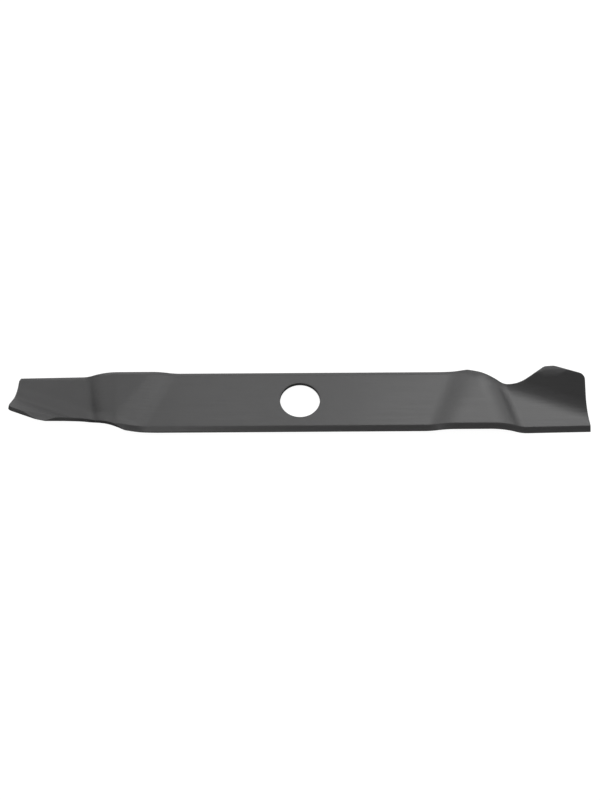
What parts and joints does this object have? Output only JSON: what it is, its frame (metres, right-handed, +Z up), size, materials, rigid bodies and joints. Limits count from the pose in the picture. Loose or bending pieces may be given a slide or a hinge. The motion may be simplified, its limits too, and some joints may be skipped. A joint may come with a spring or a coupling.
{
  "type": "rotary mower blade",
  "caption": "Straight rotary mower blade of bevelled steel bar with a round spindle bore, joggled arms, low cutting ends and curled lift sails.",
  "frame": {"origin": "centre of the spindle bore, on the underside of the clamped middle", "axes": "+X along the blade's length, +Z up along the spindle bore, to the side that the sails rise; on the +X arm the cutting edge faces -Y"},
  "size_m": [0.432, 0.0526, 0.0209],
  "materials": {
    "blade_paint": "satin dark grey paint over the whole blade"
  },
  "bodies": {
    "root": {"blade": "blade_paint"}
  },
  "joints": []
}
